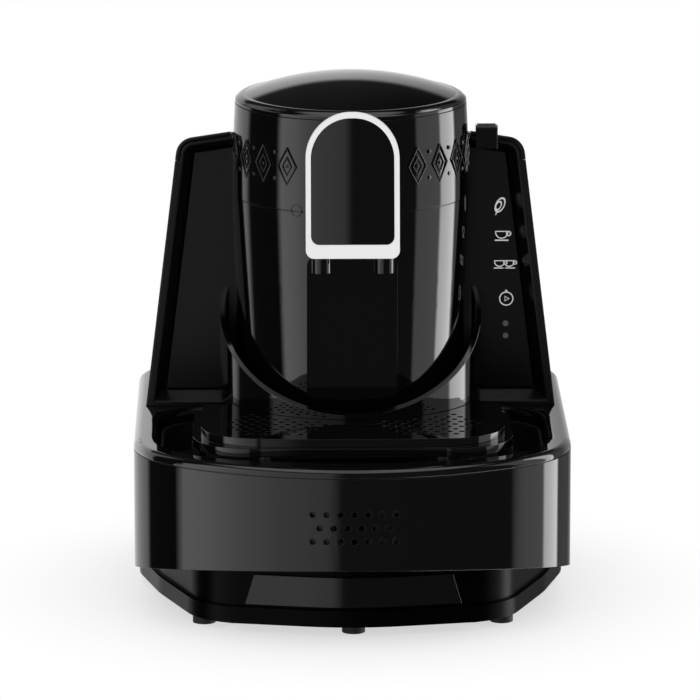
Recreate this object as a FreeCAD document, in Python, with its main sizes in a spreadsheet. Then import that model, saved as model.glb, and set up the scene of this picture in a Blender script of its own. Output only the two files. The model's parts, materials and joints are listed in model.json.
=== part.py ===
"""Electric Turkish coffee maker: every separate piece as its own solid, sizes in millimetres.

The origin is the middle of the rest face; Z is up and the front faces -Y.
"""
import FreeCAD, Part
import math
import os
from FreeCAD import Vector

doc = FreeCAD.newDocument("coffee_maker")
sheet = doc.addObject("Spreadsheet::Sheet", "Sizes")

SIZES = {
    # Drum, the round-fronted base
    "half_width": 109.5, "front_y": -124.5, "rear_y": 125.0, "front_radius": 150.0,
    "front_arc_half": 84.5, "rear_corner": 30.0, "drum_wall": 3.0, "seam_z": 86.0,
    "edge_front_z": 39.7, "edge_slope": 0.206, "edge_flat_y": -30.0,
    "dimple_radius": 1.6, "dimple_pitch": 6.85, "dimple_row": 6.85, "dimple_z": 61.4,
    # Plinth, base plate and feet
    "plinth_z": 5.0, "lip_height": 8.5, "plinth_wall": 3.0, "band_recess": 2.0,
    "plate_z": 5.0, "plate_thick": 2.5, "foot_radius": 5.8, "foot_side_x": 74.4, "boss_radius": 6.0,
    # Deck and bowl
    "deck_thick": 4.5, "deck_round": 3.8, "bowl_half": "=half_width - 12", "bowl_front_y": -105.0,
    "bowl_rear_y": 17.0, "bowl_floor_z": 68.0, "bowl_wall": 2.0,
    # Column, head and brewing pot
    "axis_y": 12.0, "column_radius": 60.0, "column_mid": 57.4, "column_foot": 53.5,
    "column_wall": 2.5, "part_z": 204.0, "head_top_z": 250.3, "head_top_radius": 58.6,
    "collar_radius": 66.4, "collar_wall": 2.4, "collar_slope": 0.6, "collar_side_z": 142.0,
    "collar_rear_y": 27.8,
    "niche_half": 22.5, "niche_low_z": 101.0, "niche_high_z": 182.0, "niche_back_y": -38.0,
    "pot_radius": 45.0, "pot_wall": 1.0, "pot_floor_z": 200.0, "pot_rim_z": "=head_top_z - 7.3",
    "pot_hole": 3.5, "valve_y": -24.5, "heater_radius": 29.2, "heater_thick": 6.0,
    # Brewing lid
    "lid_gap": 0.3, "lid_band": 1.9, "dome_top_z": "=head_top_z + 14.2", "dome_sphere": 150.0,
    "lid_radius": 58.4, "lid_wall": 2.2, "hinge_y": 72.2, "hinge_z": "=head_top_z - 1.3",
    "hinge_half": 10.0, "lug_thick": 4.6, "pin_radius": 1.5,
    # Spout
    "badge_half": 23.3, "badge_low_z": 185.0, "badge_high_z": 255.3, "badge_top_y": -51.0,
    "badge_low_y": -68.0, "frame_side": 2.6, "frame_low": 6.6, "frame_thick": 3.0,
    "panel_set": 0.7, "nozzle_x": 15.6, "nozzle_y": -57.0, "nozzle_radius": 5.0,
    "nozzle_bore": 3.4, "nozzle_low_z": 176.0, "nozzle_top_z": 190.3, "duct_z": 194.0,
    "duct_radius": 3.6, "duct_bore": 2.6,
    # Wings, tower and tank
    "wing_y": 20.0, "wing_foot_half": "=half_width - 4.8", "wing_lean": 0.122, "wing_top_z": 242.6,
    "wing_corner": 9.5, "wing_shoulder_z": 229.2, "wing_crown": 350.0, "wing_fall": 0.24,
    "cap_thick": 2.2, "cap_side_z": 218.5,
    "recess_depth": 10.0, "recess_edge": 1.8, "recess_splay": 5.5, "frame_rear_y": 44.0,
    "housing_rear_y": 75.8, "tank_front_y": 76.2, "tank_floor_z": 98.05, "tank_wall": 5.0,
    "tank_bottom": 3.0, "dock_top_z": 98.0, "arm_clear": 61.6, "tank_corner": 6.0,
    "tank_hinge_y": 123.0, "tank_hinge_z": 190.2, "tank_pin": 1.0, "tab_x": 69.0, "tab_half": 5.6,
    # Cup platform and drip tray
    "platform_top_z": 100.0, "platform_half": 75.5, "platform_front_y": -97.0,
    "platform_slab": 4.6, "platform_flange": 4.2, "flange_reach": 4.0, "tray_gap": 1.2,
    "tray_wall": 1.6, "tray_top_z": 84.0, "hole_radius": 1.7, "hole_pitch": 6.2,
    "zone_radius": 27.0, "zone_x": 38.5, "zone_y": -64.0,
    # Running clearance between pieces that move on each other
    "running_gap": 0.3, "seam_groove": 0.5,
}
for row, (alias, value) in enumerate(SIZES.items(), start=1):
    sheet.set("A%d" % row, alias)
    sheet.set("B%d" % row, str(value))
    sheet.setAlias("B%d" % row, alias)
doc.recompute()


def size(alias):
    """One driving size, read from the sheet."""
    return float(sheet.get(alias))


# Plane outlines

def arc(first, middle, last):
    return Part.Arc(Vector(*first, 0), Vector(*middle, 0), Vector(*last, 0))


def line(first, last):
    return Part.LineSegment(Vector(*first, 0), Vector(*last, 0))


def path(*steps):
    """A closed outline: a pair is a straight run to that point, a pair of pairs an arc."""
    edges = []
    here = steps[0]
    for step in steps[1:] + (steps[0],):
        if isinstance(step[0], tuple):
            edges.append(arc(here, step[0], step[1]))
            here = step[1]
        elif math.dist(here, step) > 1e-6:
            edges.append(line(here, step))
            here = step
    return edges


def rounded(corners):
    """A polygon of (x, y, radius) corners with its corners rounded."""
    steps = []
    count = len(corners)
    for i, (x, y, radius) in enumerate(corners):
        before = corners[i - 1]
        after = corners[(i + 1) % count]
        if radius <= 0:
            steps.append((x, y))
            continue
        one = Vector(before[0] - x, before[1] - y, 0).normalize()
        two = Vector(after[0] - x, after[1] - y, 0).normalize()
        half = one.getAngle(two) / 2
        reach = radius / math.tan(half)
        inward = (one + two).normalize()
        centre = Vector(x, y, 0) + inward * (radius / math.sin(half))
        middle = centre - inward * radius
        steps.append((x + one.x * reach, y + one.y * reach))
        steps.append(((middle.x, middle.y), (x + two.x * reach, y + two.y * reach)))
    return path(*steps)


def shrunk(corners, inset):
    """The same rounded polygon drawn inside itself by an inset."""
    count = len(corners)
    result = []
    for i, (x, y, radius) in enumerate(corners):
        before = corners[i - 1]
        after = corners[(i + 1) % count]
        one = Vector(before[0] - x, before[1] - y, 0).normalize()
        two = Vector(after[0] - x, after[1] - y, 0).normalize()
        move = (one + two).normalize() * (inset / math.sin(one.getAngle(two) / 2))
        result.append((x + move.x, y + move.y, max(radius - inset, 0.5) if radius else 0))
    return result


def circle(x, y, radius):
    return Part.Circle(Vector(x, y, 0), Vector(0, 0, 1), radius)


def box_outline(x0, y0, x1, y1):
    return path((x0, y0), (x1, y0), (x1, y1), (x0, y1))


# Bodies and features

def new_body(name):
    body = doc.addObject("PartDesign::Body", name)
    body.Label = name
    body.Placement = FreeCAD.Placement()
    return body


def plane_of(body, role):
    return [item for item in body.Origin.OriginFeatures if item.Role == role][0]


def sketch(body, role, edges, level="0"):
    """A sketch on one of the body's planes, moved along the plane's normal by the level."""
    sk = body.newObject("Sketcher::SketchObject", body.Name + "_outline")
    sk.AttachmentSupport = [(plane_of(body, role), "")]
    sk.MapMode = "FlatFace"
    sk.setExpression("AttachmentOffset.Base.z", level)
    sk.addGeometry(edges, False)
    return sk


def feature(body, kind, sk, length, reverse=False, both=False, taper=0.0):
    item = body.newObject("PartDesign::" + kind, body.Name + "_" + kind.lower())
    item.Profile = sk
    item.setExpression("Length", length)
    item.Reversed = reverse
    if both:
        item.SideType = "Symmetric"
    item.TaperAngle = taper
    sk.Visibility = False
    doc.recompute()
    return item


def pad(body, role, edges, level, length, **more):
    return feature(body, "Pad", sketch(body, role, edges, level), length, **more)


def cut(body, role, edges, level, length, **more):
    return feature(body, "Pocket", sketch(body, role, edges, level), length, **more)


def spin(body, edges, kind="Revolution"):
    """Turn an outline of (radius, height) about the upright axis of the body."""
    sk = sketch(body, "XZ_Plane", edges)
    item = body.newObject("PartDesign::" + kind, body.Name + "_turned")
    item.Profile = sk
    item.ReferenceAxis = (sk, ["V_Axis"])
    item.Angle = 360
    sk.Visibility = False
    doc.recompute()
    return item


def on_axis(body):
    """Stand a turned body on the column's upright axis."""
    body.setExpression("Placement.Base.y", "Sizes.axis_y")
    doc.recompute()


def soften(body, radius, wanted):
    """Round the edges of the body's tip that the test picks."""
    tip = body.Tip
    names = ["Edge%d" % (i + 1) for i, e in enumerate(tip.Shape.Edges) if wanted(e)]
    item = body.newObject("PartDesign::Fillet", body.Name + "_round")
    item.Base = (tip, names)
    item.setExpression("Radius", radius)
    doc.recompute()
    return item


def level_edge(edge, height):
    box = edge.BoundBox
    return abs(box.ZMin - height) < 0.01 and abs(box.ZMax - height) < 0.01


# Outlines that several pieces share

def drum_outline(inset):
    """Plan of the drum: a wide front arc, two corner arcs, straight sides, round rear corners."""
    big = size("front_radius")
    reach = size("front_arc_half")
    centre_y = size("front_y") + big
    turn = math.asin(reach / big)
    small = (size("half_width") - reach) / (1 - math.sin(turn))
    side_y = centre_y - (big - small) * math.cos(turn)
    wide = size("half_width") - inset
    join_x = reach - inset * math.sin(turn)
    join_y = centre_y - (big - inset) * math.cos(turn)
    mid = (turn + math.pi / 2) / 2
    corner_x = size("half_width") - small + (small - inset) * math.sin(mid)
    corner_y = side_y - (small - inset) * math.cos(mid)
    rear = size("rear_y") - inset
    rear_r = size("rear_corner") - inset
    slant = rear_r * (1 - math.sqrt(0.5))
    return path(
        (-wide, side_y), ((-corner_x, corner_y), (-join_x, join_y)),
        ((0, size("front_y") + inset), (join_x, join_y)),
        ((corner_x, corner_y), (wide, side_y)), (wide, rear - rear_r),
        ((wide - slant, rear - slant), (wide - rear_r, rear)), (rear_r - wide, rear),
        ((slant - wide, rear - slant), (-wide, rear - rear_r)))


def plinth_outline(inset):
    """Plan of the plinth: a shallow pointed front and sides that spread towards the back."""
    corners = [
        (0, -103.3, 120), (76, -87.9, 34), (97.5, -30, 90), (108.3, 12, 50), (108.3, 116, 26),
        (-108.3, 116, 26), (-108.3, 12, 50), (-97.5, -30, 90), (-76, -87.9, 34)]
    return rounded(shrunk(corners, inset))


def bowl_outline(grow):
    """Plan of the bowl opening in the deck."""
    g = grow
    half = size("bowl_half") + g
    front = size("bowl_front_y") - g
    rear = size("bowl_rear_y") + g
    return path(
        (-half, -46), ((-half + 8.6, front + 30.4), (-72 - g * 0.4, front + 15)),
        ((0, front), (72 + g * 0.4, front + 15)), ((half - 8.6, front + 30.4), (half, -46)),
        (half, rear - 26), ((half - 7.6, rear - 7.6), (half - 26, rear)),
        (26 - half, rear), ((7.6 - half, rear - 7.6), (-half, rear - 26)))


def slope_at(y):
    """Height of the drum's lower edge at a depth y."""
    run = min(y, size("edge_flat_y")) - size("front_y")
    return size("edge_front_z") - size("edge_slope") * run


def slope_region(lift, above):
    """Side-view region above or below the drum's sloping lower edge."""
    front = size("front_y") - 20
    flat = size("edge_flat_y")
    rear = size("rear_y") + 20
    far = 120 if above else -20
    return path(
        (front, slope_at(front) + lift), (flat, slope_at(flat) + lift),
        (rear, slope_at(rear) + lift), (rear, far), (front, far))


def wing_half(z):
    return size("wing_foot_half") - size("wing_lean") * (z - 90)


def wing_outline(inset, bottom):
    """Front view of the tower down to a height: a gently crowned top with round shoulders."""
    shoulder = size("wing_shoulder_z")
    corner = size("wing_corner")
    top = [
        (wing_half(shoulder), shoulder, corner), (0, size("wing_top_z"), size("wing_crown")),
        (-wing_half(shoulder), shoulder, corner)]
    feet = [(-wing_half(bottom - 40), bottom - 40, 0), (wing_half(bottom - 40), bottom - 40, 0)]
    inner = shrunk(feet + top, inset)
    low = [(inset - wing_half(bottom), bottom, 0), (wing_half(bottom) - inset, bottom, 0)]
    return rounded(low + inner[2:])


def wing_sides(inset, bottom, top):
    """Front view of the tower's straight-sided lower part."""
    return path(
        (inset - wing_half(bottom), bottom), (wing_half(bottom) - inset, bottom),
        (wing_half(top) - inset, top), (inset - wing_half(top), top))


def raked(body, kind, edges, near, far):
    """Carry a front-view outline backwards and down along the tower's falling top."""
    sk = sketch(body, "XZ_Plane", edges, "-(" + near + ")")
    sk.setExpression("AttachmentOffset.Base.y", "-Sizes.wing_fall * (" + near + " - Sizes.wing_y)")
    item = body.newObject("PartDesign::" + kind, body.Name + "_raked")
    item.Profile = sk
    item.UseCustomVector = True
    item.Direction = Vector(0, 1, -size("wing_fall"))
    item.AlongSketchNormal = False
    item.setExpression("Length", "((" + far + ") - (" + near + ")) * sqrt(1 + Sizes.wing_fall^2)")
    sk.Visibility = False
    doc.recompute()
    return item


def trim_below(body, height):
    cut(body, "XY_Plane", box_outline(-130, -140, 130, 140), height, "100")


def round_rear(body):
    """Round the two upright rear corners of a raked body."""
    rear = size("rear_y")

    def corner(edge):
        box = edge.BoundBox
        upright = box.ZLength > 15 and box.YLength < 0.01 and abs(box.YMax - rear) < 0.01
        return upright and min(abs(box.XMin), abs(box.XMax)) > 60
    soften(body, "Sizes.tank_corner", corner)


def trim_column(body, radius, low="60", length="240"):
    """Open the body round the upright column."""
    cut(body, "XY_Plane", [circle(0, size("axis_y"), radius)], low, length, reverse=True)


# Drum shell: the wall of the base, with the speaker's openings in front

def dimple_spots():
    pitch = size("dimple_pitch")
    for row, count in ((1, 7), (0, 6), (-1, 7)):
        for i in range(count):
            yield ((i - (count - 1) / 2) * pitch * 0.995, size("dimple_z") + row * size("dimple_row"))


def make_drum_shell():
    body = new_body("drum_shell")
    pad(body, "XY_Plane", drum_outline(0), "Sizes.seam_z", "Sizes.seam_z - 12", reverse=True)
    cut(body, "XY_Plane", drum_outline(size("drum_wall")), "Sizes.seam_z", "90")
    cut(body, "YZ_Plane", slope_region(0, False), "0", "300", both=True)
    holes = [circle(x, z, size("dimple_radius")) for x, z in dimple_spots()]
    cut(body, "XZ_Plane", holes, "-Sizes.front_y + 5", "30")
    cut(body, "XZ_Plane", [circle(-70, 45, 6.1)], "-Sizes.rear_y - 5", "20", reverse=True)


def make_drum_floor():
    body = new_body("drum_floor")
    pad(body, "XY_Plane", drum_outline(size("drum_wall") + 0.05), "50", "45", reverse=True)
    cut(body, "YZ_Plane", slope_region(0.0, False), "0", "300", both=True)
    cut(body, "YZ_Plane", slope_region(3.0, True), "0", "300", both=True)
    cut(body, "XY_Plane", plinth_outline(size("plinth_wall") + size("band_recess") + 1), "80", "90")


# Plinth: the narrower lower part, its panel, base plate, feet and screws

BOSSES = ((-60.0, -81.5), (60.0, -81.5), (-99.0, 80.0), (99.0, 80.0))
FEET = ((0.0, -88.8), (-74.4, -68.5), (74.4, -68.5), (-80.0, 98.0), (80.0, 98.0))
POSTS = ((-42.0, -52.0), (42.0, -52.0), (-42.0, -8.0), (42.0, -8.0))


def make_plinth():
    body = new_body("plinth")
    wall = size("plinth_wall") + size("band_recess")
    pad(body, "XY_Plane", plinth_outline(0), "Sizes.plinth_z", "Sizes.lip_height")
    pad(body, "XY_Plane", plinth_outline(size("band_recess")), "Sizes.plinth_z", "55")
    cut(body, "XY_Plane", plinth_outline(wall), "100", "120")
    spots = [circle(x, y, size("boss_radius")) for x, y in BOSSES]
    pad(body, "XY_Plane", spots, "Sizes.plate_z + Sizes.plate_thick", "7")
    cut(body, "XY_Plane", [circle(x, y, 1.5) for x, y in BOSSES], "40", "50")
    cut(body, "YZ_Plane", slope_region(0.0, True), "0", "300", both=True)


def make_plinth_panel():
    body = new_body("plinth_panel")
    low = "Sizes.plinth_z + Sizes.lip_height + 1.5"
    pad(body, "XY_Plane", plinth_outline(0.5), low, "15.2")
    cut(body, "XY_Plane", plinth_outline(size("band_recess")), "100", "120")
    cut(body, "XY_Plane", box_outline(-120, -80, 120, 130), "100", "120")
    for side in (-1, 1):
        corner = path((side * 54.2, 14), (side * 49.2, 31), (side * 120, 31), (side * 120, 14))
        cut(body, "XZ_Plane", corner, "60", "90", reverse=True)


def make_base_plate():
    body = new_body("base_plate")
    inset = size("plinth_wall") + size("band_recess") + 0.1
    pad(body, "XY_Plane", plinth_outline(inset), "Sizes.plate_z", "Sizes.plate_thick")
    cut(body, "XY_Plane", [circle(x, y, 1.6) for x, y in BOSSES], "20", "30")
    slots = [e for i in range(6) for e in box_outline(-27.5 + 10 * i, 40, -22.5 + 10 * i, 70)]
    cut(body, "XY_Plane", slots, "20", "30")
    posts = [circle(x, y, 3) for x, y in POSTS]
    pad(body, "XY_Plane", posts, "Sizes.plate_z + Sizes.plate_thick", "6")


def make_feet():
    body_list = []
    for i, (x, y) in enumerate(FEET):
        foot = doc.addObject("Part::Cylinder", "foot_%d" % i)
        foot.setExpression("Radius", "Sizes.foot_radius")
        foot.setExpression("Height", "Sizes.plate_z")
        foot.Placement.Base = Vector(x, y, 0)
        body_list.append(foot)
    group = doc.addObject("Part::Compound", "feet")
    group.Links = body_list
    group.Label = "feet"
    doc.recompute()


def make_screws():
    solids = []
    for i, (x, y) in enumerate(BOSSES):
        head = doc.addObject("Part::Cylinder", "screw_head_%d" % i)
        head.Radius = 3.2
        head.setExpression("Height", "Sizes.plate_z - 3.2")
        head.Placement.Base = Vector(x, y, 3.2)
        shank = doc.addObject("Part::Cylinder", "screw_shank_%d" % i)
        shank.Radius = 1.45
        shank.Height = 11
        shank.Placement.Base = Vector(x, y, 3.2)
        screw = doc.addObject("Part::MultiFuse", "screw_%d" % i)
        screw.Shapes = [head, shank]
        solids.append(screw)
    group = doc.addObject("Part::Compound", "base_screws")
    group.Links = solids
    group.Label = "base_screws"
    doc.recompute()


# Deck: the top of the base with its bowl

def make_deck():
    body = new_body("deck")
    pad(body, "XY_Plane", drum_outline(0), "Sizes.seam_z + Sizes.seam_groove",
        "Sizes.deck_thick - Sizes.seam_groove")
    pad(body, "XY_Plane", drum_outline(size("seam_groove")), "Sizes.seam_z", "1")
    depth = "Sizes.seam_z - Sizes.bowl_floor_z + Sizes.bowl_wall"
    pad(body, "XY_Plane", bowl_outline(size("bowl_wall")), "Sizes.seam_z + 1",
        depth + " + 1", reverse=True)
    cut(body, "XY_Plane", bowl_outline(0), "Sizes.seam_z + 10",
        "Sizes.seam_z + 10 - Sizes.bowl_floor_z")
    trim_column(body, size("collar_radius") + 0.1, "Sizes.bowl_floor_z", "40")
    trim_column(body, 50.0, "40", "60")
    cut(body, "XY_Plane", [circle(0, 100, 4.0)], "40", "80", reverse=True)
    top = size("seam_z") + size("deck_thick")
    wide = size("half_width")

    def outer_rim(edge):
        box = edge.BoundBox
        far = max(abs(box.XMin), abs(box.XMax), abs(box.YMin), abs(box.YMax))
        return level_edge(edge, top) and far > wide - 5.1
    soften(body, "Sizes.deck_round", outer_rim)


# Column, collar and head

def make_column():
    body = new_body("column_shell")
    wall = size("column_wall")
    foot = size("bowl_floor_z")
    top = size("part_z")
    groove = size("seam_groove")
    radius = size("column_radius")
    spin(body, path(
        (size("column_foot"), foot), ((size("column_mid"), 140.0), (radius, top - groove)),
        (radius - groove, top - groove), (radius - groove, top), (radius - wall, top),
        (size("column_foot") - wall, foot)))
    half = size("niche_half")
    low = size("niche_low_z")
    high = size("niche_high_z")
    opening = rounded([(-half, low, 2), (half, low, 2), (half, high, 6), (-half, high, 6)])
    cut(body, "XZ_Plane", opening, "30", "60", reverse=True)
    cut(body, "XZ_Plane", [circle(0, size("duct_z"), 5.2)], "40", "40", reverse=True)
    rear = box_outline(-16, 90, 16, 190)
    cut(body, "XZ_Plane", rear, "-40", "40")
    on_axis(body)


def make_niche():
    body = new_body("niche_panel")
    half = size("niche_half") - 0.05
    low = size("niche_low_z") + 0.05
    high = size("niche_high_z") - 0.05
    edges = rounded([(-half, low, 2), (half, low, 2), (half, high, 6), (-half, high, 6)])
    pad(body, "XZ_Plane", edges, "-Sizes.niche_back_y", "2.6", reverse=True)


def make_collar():
    body = new_body("column_collar")
    low = size("bowl_floor_z")
    out = size("collar_radius")
    thin = out - size("collar_wall")
    spin(body, path((thin, low), (out, low), (out, 200), (thin, 200)))
    steep = size("collar_slope")
    side = size("collar_side_z")
    region = path((-90, side - 90 * steep), (90, side + 90 * steep), (90, 260), (-90, 260))
    cut(body, "YZ_Plane", region, "0", "300", both=True)
    rear = size("collar_rear_y") - size("axis_y")
    cut(body, "XY_Plane", box_outline(-90, rear, 90, 90), "300", "300")
    on_axis(body)


def make_head():
    body = new_body("head_shell")
    low = size("part_z")
    top = size("head_top_z")
    ledge = size("pot_rim_z")
    wall = size("column_radius") - 4
    outer = ((size("column_radius"), low), (59.6, (low + top) / 2), (size("head_top_radius"), top))
    spin(body, path(
        outer[0], (outer[1], outer[2]), (wall - 0.2, top), (wall - 0.2, ledge), (51.0, ledge),
        (51.0, ledge - 3), (wall, ledge - 6), (wall, low)))
    near = 54.8
    y = size("hinge_y") - size("axis_y")
    z = size("hinge_z")
    profile = path(
        (near, z - 7), (near, z + 1), (y - 2.722, z + 1), ((y, z + 2.9), (y + 2.9, z)),
        (y + 2.9, z - 3.4), (y - 2, z - 10))
    for side in (-1, 1):
        middle = side * (size("hinge_half") + size("running_gap") + size("lug_thick") / 2)
        pad(body, "YZ_Plane", profile, str(middle), "Sizes.lug_thick", both=True)
    cut(body, "YZ_Plane", [circle(y, z, size("pin_radius") + 0.03)], "0", "60", both=True)
    cut(body, "XY_Plane", [circle(0, 0, wall - 0.2)], "Sizes.pot_rim_z", "40", reverse=True)
    half = size("hinge_half") + size("running_gap")
    cut(body, "XY_Plane", box_outline(-half, wall - 2, half, wall + 20), "Sizes.hinge_z - 3.6",
        "40", reverse=True)
    on_axis(body)


def make_hinge_pin():
    pin = doc.addObject("Part::Cylinder", "lid_hinge_pin")
    pin.Label = "lid_hinge_pin"
    pin.setExpression("Radius", "Sizes.pin_radius")
    pin.setExpression("Height", "2 * (Sizes.hinge_half + Sizes.lug_thick + Sizes.running_gap)")
    reach = size("hinge_half") + size("lug_thick") + size("running_gap")
    place = Vector(-reach, size("hinge_y"), size("hinge_z"))
    pin.Placement = FreeCAD.Placement(place, FreeCAD.Rotation(Vector(0, 1, 0), 90))
    doc.recompute()


def make_lid():
    body = new_body("brew_lid")
    low = size("head_top_z") + size("lid_gap")
    band = low + size("lid_band")
    radius = size("lid_radius")
    top = size("dome_top_z")
    sphere = size("dome_sphere")
    wall = size("lid_wall")

    outer_r = radius - 5.0
    inner_r = outer_r - 0.6
    edge_z = top - sphere + math.sqrt(sphere ** 2 - outer_r ** 2)
    ring = Part.Circle(Vector(0, top - sphere, 0), Vector(0, 0, 1), sphere)
    crown = Part.ArcOfCircle(ring, math.acos(outer_r / sphere), math.pi / 2)
    points = (
        (radius - 0.5, band), (radius, band - 0.4), (radius, low), (radius - wall, low),
        (radius - wall - 0.3, band), (inner_r, edge_z - wall), (20.0, top - wall - 3.2),
        (0, top - wall - 3.2), (0, top))
    edges = [crown, arc((outer_r, edge_z), (radius - 1.75, edge_z - 0.95), points[0])]
    edges += [line(points[i], points[i + 1]) for i in range(len(points) - 1)]
    spin(body, edges)
    y = size("hinge_y") - size("axis_y")
    half = size("hinge_half")
    pad(body, "YZ_Plane", box_outline(radius - 1.2, low + 0.2, y + 2.2, low + 1.4), "0",
        "2 * Sizes.hinge_half", both=True)
    pad(body, "YZ_Plane", [circle(y, size("hinge_z"), 3.2)], "0", "2 * Sizes.hinge_half", both=True)
    bore = [circle(y, size("hinge_z"), size("pin_radius") + 0.05)]
    cut(body, "YZ_Plane", bore, "0", "3 * %s" % half, both=True)
    on_axis(body)


def make_liner():
    body = new_body("lid_liner")
    low = size("head_top_z") + size("lid_gap")
    top = size("dome_top_z")
    under = top - size("lid_wall") - 3.2
    spin(body, path(
        (0, low - 3.6), (50.0, low - 3.6), (50.0, low), (size("lid_radius") - 2.7, low),
        (size("lid_radius") - 2.7, low + 1.6), (20.0, low + 1.6), (20.0, under - 0.02),
        (16.0, under - 0.02), (16.0, low + 1.6), (0, low + 1.6)))
    on_axis(body)


def make_lid_seal():
    body = new_body("lid_seal")
    low = size("head_top_z") + size("lid_gap") - 3.6
    spin(body, path((50.1, low), (53.0, low + 0.6), (53.0, low + 1.8), (50.1, low + 2.4)))
    on_axis(body)


# Brewing pot, heater and serving valve

def make_pot():
    body = new_body("brew_pot")
    floor = size("pot_floor_z")
    rim = size("pot_rim_z")
    out = size("pot_radius")
    wall = size("pot_wall")
    spin(body, path(
        (0, floor), (out - 1, floor), (out, floor + 1), (out, rim), (54.9, rim),
        (54.9, rim + wall), (out - wall, rim + wall), (out - wall, floor + wall),
        (0, floor + wall)))
    hole = [circle(0, size("valve_y") - size("axis_y"), size("pot_hole"))]
    inlet = [circle(31, 30 - size("axis_y"), 3.0)]
    cut(body, "XY_Plane", hole + inlet, "Sizes.pot_floor_z - 5", "10", reverse=True)
    on_axis(body)


def make_heater():
    body = new_body("heater_plate")
    disc = [circle(0, 0, size("heater_radius"))]
    pad(body, "XY_Plane", disc, "Sizes.pot_floor_z", "Sizes.heater_thick", reverse=True)
    cut(body, "XY_Plane", [circle(0, 0, 8.0)], "Sizes.pot_floor_z - Sizes.heater_thick - 1",
        "Sizes.heater_thick + 2", reverse=True)
    on_axis(body)


def make_thermostat():
    item = doc.addObject("Part::Cylinder", "thermostat")
    item.Label = "thermostat"
    item.Radius = 7.6
    item.setExpression("Height", "Sizes.heater_thick + 4")
    item.setExpression("Placement.Base.y", "Sizes.axis_y")
    item.setExpression("Placement.Base.z", "Sizes.pot_floor_z - Sizes.heater_thick - 4")
    doc.recompute()


def make_valve_body():
    body = new_body("valve_body")
    y = size("valve_y")
    pad(body, "XY_Plane", [circle(0, y, 6.8)], "Sizes.pot_floor_z", "14", reverse=True)
    cut(body, "XY_Plane", [circle(0, y, 5.5)], "Sizes.pot_floor_z", "12")
    cut(body, "XY_Plane", [circle(0, y, 2.1)], "Sizes.pot_floor_z", "30")
    side = [circle(0, size("duct_z"), size("duct_bore"))]
    cut(body, "XZ_Plane", side, "-Sizes.valve_y", "20", reverse=True)


def make_plunger():
    body = new_body("serving_plunger")
    y = size("valve_y")
    pad(body, "XY_Plane", [circle(0, y, 5.2)], "Sizes.pot_floor_z - 0.05", "3", reverse=True)
    pad(body, "XY_Plane", [circle(0, y, 2.0)], "Sizes.pot_floor_z - 1", "24", reverse=True)


def make_solenoid():
    body = new_body("serving_solenoid")
    y = size("valve_y")
    pad(body, "XY_Plane", rounded([
        (-11, y - 10, 2), (11, y - 10, 2), (11, y + 12, 2), (-11, y + 12, 2)]),
        "Sizes.pot_floor_z - 14", "22", reverse=True)
    cut(body, "XY_Plane", [circle(0, y, 2.1)], "Sizes.pot_floor_z - 14", "19")


# Spout: hood, silver frame, panel, nozzles and the duct that feeds them

def badge_front(z):
    """Depth of the spout's leaning front at a height."""
    rise = size("badge_high_z") - size("badge_low_z")
    share = (z - size("badge_low_z")) / rise
    return size("badge_low_y") + share * (size("badge_top_y") - size("badge_low_y"))


def badge_arch(side, low, top):
    """Front view of the spout: an arch with a round head and small lower corners."""
    half = size("badge_half") - side
    base = size("badge_low_z") + low
    peak = size("badge_high_z") - top
    shoulder = peak - half * 0.92
    slope = half * 0.7071
    return path(
        (-half + 4, base), (half - 4, base), ((half - 1.2, base + 1.2), (half, base + 4)),
        (half, shoulder), ((slope, shoulder + 0.92 * slope), (0, peak)),
        ((-slope, shoulder + 0.92 * slope), (-half, shoulder)), (-half, base + 4),
        ((-half + 1.2, base + 1.2), (-half + 4, base)))


def lean_region(step, front):
    """Side-view region in front of or behind the leaning face moved back by a step."""
    low = 150.0
    high = 290.0
    far = -150.0 if front else 60.0
    return path((badge_front(low) + step, low), (badge_front(high) + step, high), (far, high), (far, low))


def make_hood():
    body = new_body("spout_hood")
    pad(body, "XZ_Plane", badge_arch(0.4, 0.4, 0.4), "30", "60")
    cut(body, "YZ_Plane", lean_region(size("frame_thick"), True), "0", "100", both=True)
    inside = path(
        (-20, 188.4), (badge_front(188.4) + 4.6, 188.4), (badge_front(240) + 4.6, 240), (-20, 240))
    cut(body, "YZ_Plane", inside, "0", "40", both=True)
    holes = [circle(s * size("nozzle_x"), size("nozzle_y"), size("nozzle_radius") + 0.05)
             for s in (-1, 1)]
    cut(body, "XY_Plane", holes, "192", "20")
    trim_column(body, size("column_radius") + 0.04, "150", "140")


def make_spout_frame():
    body = new_body("spout_frame")
    pad(body, "XZ_Plane", badge_arch(0, 0, 0), "30", "60")
    cut(body, "YZ_Plane", lean_region(0, True), "0", "100", both=True)
    cut(body, "YZ_Plane", lean_region(size("frame_thick"), False), "0", "100", both=True)
    side = size("frame_side")
    cut(body, "XZ_Plane", badge_arch(side, size("frame_low"), side), "10", "100", reverse=True)


def make_badge_panel():
    body = new_body("badge_panel")
    side = size("frame_side") + 0.05
    arch = badge_arch(side, size("frame_low") + 0.05, side)
    pad(body, "XZ_Plane", arch, "30", "60")
    cut(body, "YZ_Plane", lean_region(size("panel_set"), True), "0", "100", both=True)
    cut(body, "YZ_Plane", lean_region(size("frame_thick"), False), "0", "100", both=True)


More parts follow.
